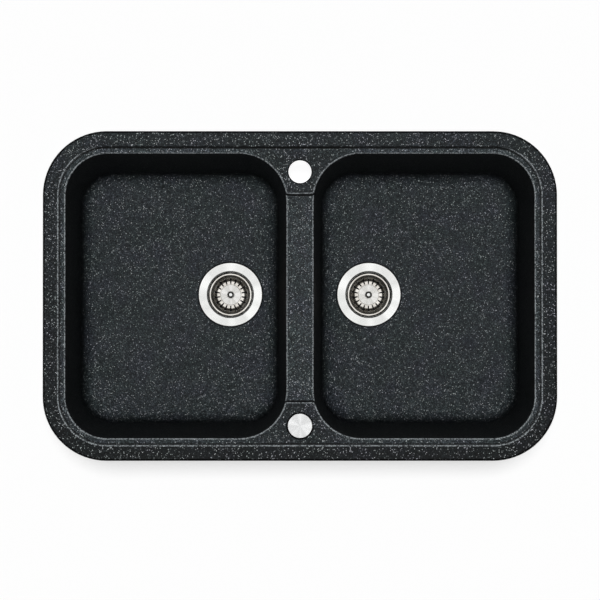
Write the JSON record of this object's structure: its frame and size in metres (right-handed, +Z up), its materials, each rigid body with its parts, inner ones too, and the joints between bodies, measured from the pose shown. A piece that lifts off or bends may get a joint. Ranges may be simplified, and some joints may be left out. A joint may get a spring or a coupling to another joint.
{
  "type": "double bowl kitchen sink",
  "caption": "Drop-in double bowl kitchen sink in dark granite composite, with a low saddle, a tap hole, a capped overflow and lift-out basket strainers.",
  "frame": {"origin": "middle of the rim's underside, in the plane of the worktop's surface", "axes": "+X to the right along the sink's length, +Y to the back where the tap stands, +Z up out of the bowls"},
  "size_m": [0.78, 0.5, 0.2772],
  "materials": {
    "granite_composite": "fine-grained matt, charcoal with small light specks",
    "polished_steel": "polished stainless steel",
    "satin_steel": "satin brushed stainless steel",
    "pressed_steel": "pressed stainless sheet",
    "screw_steel": "turned stainless steel",
    "clamp_steel": "zinc-plated pressed steel",
    "brass_insert": "turned brass",
    "waste_plastic": "white moulded polypropylene",
    "gasket_rubber": "black moulded rubber",
    "seal_rubber": "black moulded rubber"
  },
  "bodies": {
    "sink": {"sink_casting": "granite_composite", "clamp_inserts": "brass_insert", "overflow_grate": "pressed_steel", "overflow_screw": "screw_steel", "overflow_gasket": "gasket_rubber", "overflow_elbow": "waste_plastic", "strainer_flange_left": "polished_steel", "strainer_top_gasket_left": "gasket_rubber", "strainer_bottom_gasket_left": "gasket_rubber", "waste_insert_left": "brass_insert", "waste_screw_left": "screw_steel", "waste_body_left": "waste_plastic", "strainer_flange_right": "polished_steel", "strainer_top_gasket_right": "gasket_rubber", "strainer_bottom_gasket_right": "gasket_rubber", "waste_insert_right": "brass_insert", "waste_screw_right": "screw_steel", "waste_body_right": "waste_plastic"},
    "basket_left": {"basket_cup_left": "pressed_steel", "basket_disc_left": "satin_steel", "basket_knob_left": "polished_steel", "basket_stem_left": "screw_steel", "basket_seal_left": "seal_rubber"},
    "basket_right": {"basket_cup_right": "pressed_steel", "basket_disc_right": "satin_steel", "basket_knob_right": "polished_steel", "basket_stem_right": "screw_steel", "basket_seal_right": "seal_rubber"},
    "overflow_cap": {"overflow_cover": "satin_steel"},
    "screw_1": {"clamp_screw_1": "screw_steel"},
    "claw_1": {"clamp_claw_1": "clamp_steel"},
    "screw_2": {"clamp_screw_2": "screw_steel"},
    "claw_2": {"clamp_claw_2": "clamp_steel"},
    "screw_3": {"clamp_screw_3": "screw_steel"},
    "claw_3": {"clamp_claw_3": "clamp_steel"},
    "screw_4": {"clamp_screw_4": "screw_steel"},
    "claw_4": {"clamp_claw_4": "clamp_steel"},
    "screw_5": {"clamp_screw_5": "screw_steel"},
    "claw_5": {"clamp_claw_5": "clamp_steel"},
    "screw_6": {"clamp_screw_6": "screw_steel"},
    "claw_6": {"clamp_claw_6": "clamp_steel"},
    "screw_7": {"clamp_screw_7": "screw_steel"},
    "claw_7": {"clamp_claw_7": "clamp_steel"},
    "screw_8": {"clamp_screw_8": "screw_steel"},
    "claw_8": {"clamp_claw_8": "clamp_steel"}
  },
  "joints": [
    {"name": "basket_lift_left", "type": "slide", "parent": "sink", "child": "basket_left", "axis": [0, 0, 1], "range_m": [0, 0.25]},
    {"name": "basket_lift_right", "type": "slide", "parent": "sink", "child": "basket_right", "axis": [0, 0, 1], "range_m": [0, 0.25]},
    {"name": "overflow_cover_lift", "type": "slide", "parent": "sink", "child": "overflow_cap", "axis": [0, 0, 1], "range_m": [0, 0.03]},
    {"name": "clamp_tighten_1", "type": "slide", "parent": "sink", "child": "screw_1", "axis": [0, 0, 1], "range_m": [0, 0.014]},
    {"name": "claw_swing_1", "type": "hinge", "parent": "screw_1", "child": "claw_1", "pos_m": [-0.23, 0.232, -0.05], "axis": [0, 0, 1], "range_deg": [0, 90]},
    {"name": "clamp_tighten_2", "type": "slide", "parent": "sink", "child": "screw_2", "axis": [0, 0, 1], "range_m": [0, 0.014]},
    {"name": "claw_swing_2", "type": "hinge", "parent": "screw_2", "child": "claw_2", "pos_m": [0.23, 0.232, -0.05], "axis": [0, 0, 1], "range_deg": [0, 90]},
    {"name": "clamp_tighten_3", "type": "slide", "parent": "sink", "child": "screw_3", "axis": [0, 0, 1], "range_m": [0, 0.014]},
    {"name": "claw_swing_3", "type": "hinge", "parent": "screw_3", "child": "claw_3", "pos_m": [-0.23, -0.232, -0.05], "axis": [0, 0, 1], "range_deg": [0, 90]},
    {"name": "clamp_tighten_4", "type": "slide", "parent": "sink", "child": "screw_4", "axis": [0, 0, 1], "range_m": [0, 0.014]},
    {"name": "claw_swing_4", "type": "hinge", "parent": "screw_4", "child": "claw_4", "pos_m": [0.23, -0.232, -0.05], "axis": [0, 0, 1], "range_deg": [0, 90]},
    {"name": "clamp_tighten_5", "type": "slide", "parent": "sink", "child": "screw_5", "axis": [0, 0, 1], "range_m": [0, 0.014]},
    {"name": "claw_swing_5", "type": "hinge", "parent": "screw_5", "child": "claw_5", "pos_m": [-0.372, 0.12, -0.05], "axis": [0, 0, 1], "range_deg": [0, 90]},
    {"name": "clamp_tighten_6", "type": "slide", "parent": "sink", "child": "screw_6", "axis": [0, 0, 1], "range_m": [0, 0.014]},
    {"name": "claw_swing_6", "type": "hinge", "parent": "screw_6", "child": "claw_6", "pos_m": [0.372, 0.12, -0.05], "axis": [0, 0, 1], "range_deg": [0, 90]},
    {"name": "clamp_tighten_7", "type": "slide", "parent": "sink", "child": "screw_7", "axis": [0, 0, 1], "range_m": [0, 0.014]},
    {"name": "claw_swing_7", "type": "hinge", "parent": "screw_7", "child": "claw_7", "pos_m": [-0.372, -0.12, -0.05], "axis": [0, 0, 1], "range_deg": [0, 90]},
    {"name": "clamp_tighten_8", "type": "slide", "parent": "sink", "child": "screw_8", "axis": [0, 0, 1], "range_m": [0, 0.014]},
    {"name": "claw_swing_8", "type": "hinge", "parent": "screw_8", "child": "claw_8", "pos_m": [0.372, -0.12, -0.05], "axis": [0, 0, 1], "range_deg": [0, 90]}
  ]
}
